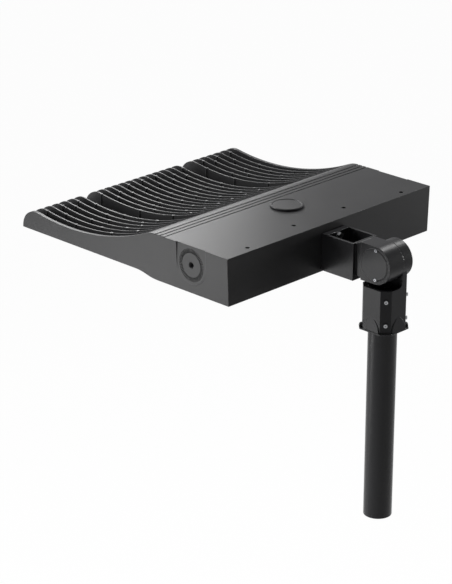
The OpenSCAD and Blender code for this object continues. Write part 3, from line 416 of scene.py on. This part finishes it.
def tapped_wall(place, outward, radius, length):
    """Closed sleeve round X: plain outside, a thread inside.

    The inner radius is the hole's less thread_depth times a ridge that climbs one pitch a
    turn: a triangle wave, ridge_height high, lowered by ridge_cut and cut off at 0 and 1.
    """
    steps = int(length / thread_pitch * thread_pitch_steps)
    deep = np.linspace(thread_end_gap, length - thread_end_gap, steps)
    turn = np.linspace(0.0, 2.0 * np.pi, thread_turn_steps, endpoint=False)
    phase = (deep[:, None] / thread_pitch + turn[None, :] / (2.0 * np.pi)) % 1.0
    wave = ridge_height * (1.0 - np.abs(2.0 * phase - 1.0)) - ridge_cut
    inner = radius - thread_clearance - thread_depth * np.clip(wave, 0.0, 1.0)
    outer = np.full((2, thread_turn_steps), radius - sleeve_clearance)
    reach = np.vstack([inner, outer])
    back = np.concatenate([deep, deep[[-1, 0]]])
    x = place[0] - outward * np.broadcast_to(back[:, None], reach.shape)
    y = place[1] + outward * reach * np.cos(turn)
    z = place[2] + reach * np.sin(turn)
    return np.stack([x, y, z], axis=-1)[None]


for mount in frame["record"]["mounts"]:
    if mount["kind"] == "threaded_hole":
        size = mount["dims"]
        wall = tapped_wall(mount["pos_m"], mount["axis"][0],
                           size["r_mm"] / 1000.0, size["length_mm"] / 1000.0)
        thread = surface(mount["name"] + "_cut", wall, around=True, along=True)
        thread.data.materials.append(cast_coat)
        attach(thread, "head")


# Pivot bolt, nut and washers, tray screws and tray.
# Zinc-plated and passivated steel: paler and duller than stainless, with a
# faint yellow-blue cloud from the passivation.
zinc_rough = 0.36
zinc_scratch_mm = 0.8
zinc = bare_metal("zinc_plated_steel", "#b9bab4", zinc_rough, zinc_scratch_mm, "#a6aab0")
dress(zinc, "pivot_bolt", "pivot_nut", "pivot_washers", "tray_screws", "driver_tray")


# Gaskets and grommet.
# Moulded black silicone rubber: dull, slightly dusty, with a soft fine grain
# that is really about 0.1 mm wide, and drawn coarser so that it shows.
moulded_cloud_scale = 30.0
moulded_tone = {"To Min": 0.9, "To Max": 1.1}
moulded_gloss_span = (-0.05, 0.05)
moulded_bump = 0.4
moulded_edge = 0.0004


def moulded(name, shade, rough, grain_mm, grain_depth_mm, ior):
    """Moulded plastic or rubber, or flat paint: a slight cloud, and a grain in bump and gloss."""
    stuff = bpy.data.materials.new(name)
    stuff.use_nodes = True
    tree = stuff.node_tree
    tree.nodes.clear()
    place = add(tree, "ShaderNodeTexCoord").outputs["Object"]
    grain = add(tree, "ShaderNodeTexNoise", {"Scale": 1000.0 / grain_mm, "Detail": 2.0},
                {"Vector": place})
    cloud = add(tree, "ShaderNodeTexNoise", {"Scale": moulded_cloud_scale, "Detail": 2.0},
                {"Vector": place})
    tone = add(tree, "ShaderNodeMapRange", {**noise_span, **moulded_tone},
               {"Value": cloud.outputs["Fac"]})
    colour = add(tree, "ShaderNodeMix",
                 {"data_type": "RGBA", "blend_type": "MULTIPLY", 0: 1.0, 6: linear(shade)},
                 {7: tone.outputs[0]})
    gloss = add(tree, "ShaderNodeMapRange",
                {**noise_span, "To Min": rough + moulded_gloss_span[0],
                 "To Max": rough + moulded_gloss_span[1]}, {"Value": grain.outputs["Fac"]})
    edge = add(tree, "ShaderNodeBevel", {"samples": 4, "Radius": moulded_edge})
    bump = add(tree, "ShaderNodeBump",
               {"Strength": moulded_bump, "Distance": grain_depth_mm / 1000.0},
               {"Height": grain.outputs["Fac"], "Normal": edge.outputs[0]})
    shader = add(tree, "ShaderNodeBsdfPrincipled", {"IOR": ior},
                 {"Base Color": colour.outputs[2], "Roughness": gloss.outputs[0],
                  "Normal": bump.outputs[0]})
    add(tree, "ShaderNodeOutputMaterial", {}, {"Surface": shader.outputs[0]})
    return stuff


silicone = moulded("silicone_rubber", "#26262a", rough=0.62, grain_mm=0.6,
                   grain_depth_mm=0.05, ior=1.41)
dress(silicone, "arm_gasket", "photocell_gasket", "wire_grommet", "door_gasket", "lens_gasket")


# Tilt scale on the knuckle cap.
# Short ribs cast along the cap's rim, one every five degrees and a longer one
# every fifteen, coloured near black: painted shade for the shade that makes the marks dark.
scale_radius = 0.0322
scale_step_deg = 5.0
scale_long_deg = 15.0
scale_end_deg = 80.0
scale_slack_deg = 1e-6
stroke_width = 0.0018
stroke_height = 0.0005
stroke_short = 0.0036
stroke_long = 0.0052
stroke_stations = 9
stroke_sides = 10
stroke_least = 1e-4


def stroke_points(centre, face, turns, lengths):
    """Strokes on the face x = face, each along a radius of the cap.

    A station is a flat ellipse across the stroke, times the root of 1 less the sixth power of
    its place from -1 to 1 along the stroke, so that both ends are round.
    """
    ends = np.linspace(-1.0, 1.0, stroke_stations)
    ring = np.linspace(0.0, 2.0 * np.pi, stroke_sides, endpoint=False)
    swell = np.sqrt(np.clip(1.0 - ends ** 6, stroke_least, 1.0))
    turn = turns[:, None, None]
    out = scale_radius + 0.5 * lengths[:, None, None] * ends[None, :, None]
    side = 0.5 * stroke_width * swell[None, :, None] * np.cos(ring)[None, None, :]
    high = stroke_height * swell[None, :, None] * np.sin(ring)[None, None, :]
    y = centre[0] + out * np.cos(turn) - side * np.sin(turn)
    z = centre[1] + out * np.sin(turn) + side * np.cos(turn)
    return np.stack(np.broadcast_arrays(face + high, y, z), axis=-1)


cap_low, cap_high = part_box("knuckle_cap")
cap_centre = (0.5 * (cap_low[1] + cap_high[1]), 0.5 * (cap_low[2] + cap_high[2]))
scale_turns = np.arange(-scale_end_deg, scale_end_deg + scale_slack_deg, scale_step_deg)
scale_lengths = np.where(np.abs(scale_turns % scale_long_deg) < scale_slack_deg,
                         stroke_long, stroke_short)
strokes = stroke_points(cap_centre, cap_high[0], np.radians(scale_turns), scale_lengths)
tilt_scale = surface("tilt_scale", strokes, around=True, along=False)
tilt_scale.data.materials.append(moulded("painted_shade_black", "#0c0c0d", rough=0.7, grain_mm=0.6,
                                         grain_depth_mm=0.02, ior=1.45))
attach(tilt_scale, "head")


# Breather plug.
# Injection-moulded black nylon with a spark-eroded matt face.
dress(moulded("black_nylon", "#232325", rough=0.55, grain_mm=0.5, grain_depth_mm=0.04,
              ior=1.53), "breather_vent")


# Driver, surge protector and terminal block.
# A ribbed anodised aluminium case, a satin blue polycarbonate surge protector and
# a pale polyamide terminal block, all hidden under the tray.
anodised_rough = 0.42
anodised_scratch_mm = 0.6
dress(bare_metal("anodised_aluminium", "#777b80", anodised_rough, anodised_scratch_mm,
                 "#6c7074"), "led_driver")
dress(moulded("blue_polycarbonate", "#2d4f86", rough=0.35, grain_mm=0.7, grain_depth_mm=0.03,
              ior=1.58), "surge_protector")
dress(moulded("pale_polyamide", "#dcd8cb", rough=0.42, grain_mm=0.6, grain_depth_mm=0.03,
              ior=1.53), "terminal_block")


# Circuit boards.
# Aluminium-cored boards with white solder mask: a satin skin with faint relief
# where the copper runs under it.
copper_row_mm = 7.0
brick_rows = 4.0  # rows that the Brick Texture lays at a scale of 1
copper_gap = 0.012
copper_depth = 0.00003
copper_bump = 0.3
mask_rough = 0.34
mask_ior = 1.5
mask = bpy.data.materials.new("white_solder_mask")
mask.use_nodes = True
tree = mask.node_tree
tree.nodes.clear()
place = add(tree, "ShaderNodeTexCoord").outputs["Object"]
tracks = add(tree, "ShaderNodeTexBrick",
             {"Scale": 1000.0 / copper_row_mm / brick_rows, "Mortar Size": copper_gap,
              "Color1": linear("#eceae4"), "Color2": linear("#e8e6df"),
              "Mortar": linear("#d9d7cd")}, {"Vector": place})
relief = add(tree, "ShaderNodeBump", {"Strength": copper_bump, "Distance": copper_depth},
             {"Height": tracks.outputs["Fac"]})
shader = add(tree, "ShaderNodeBsdfPrincipled", {"IOR": mask_ior, "Roughness": mask_rough},
             {"Base Color": tracks.outputs["Color"], "Normal": relief.outputs[0]})
add(tree, "ShaderNodeOutputMaterial", {}, {"Surface": shader.outputs[0]})
dress(mask, "led_boards")


# Light sources.
# White LEDs switched off: yellow phosphor in clear silicone.
dress(moulded("yellow_phosphor", "#e6c545", rough=0.4, grain_mm=0.3, grain_depth_mm=0.02,
              ior=1.41), "led_chips")


# Lens sheet.
# Clear moulded polycarbonate, polished, with the faint ripple of the mould.
ripple_scale = 60.0
ripple_depth = 0.0001
ripple_bump = 0.1
lens_rough = 0.04
lens_ior = 1.585
clear = bpy.data.materials.new("clear_polycarbonate")
clear.use_nodes = True
tree = clear.node_tree
tree.nodes.clear()
place = add(tree, "ShaderNodeTexCoord").outputs["Object"]
ripple = add(tree, "ShaderNodeTexNoise", {"Scale": ripple_scale, "Detail": 1.0},
             {"Vector": place})
wave = add(tree, "ShaderNodeBump", {"Strength": ripple_bump, "Distance": ripple_depth},
           {"Height": ripple.outputs["Fac"]})
shader = add(tree, "ShaderNodeBsdfPrincipled",
             {"Base Color": linear("#f4f8fa"), "Roughness": lens_rough, "IOR": lens_ior,
              "Transmission Weight": 1.0}, {"Normal": wave.outputs[0]})
add(tree, "ShaderNodeOutputMaterial", {}, {"Surface": shader.outputs[0]})
dress(clear, "lens_panel")
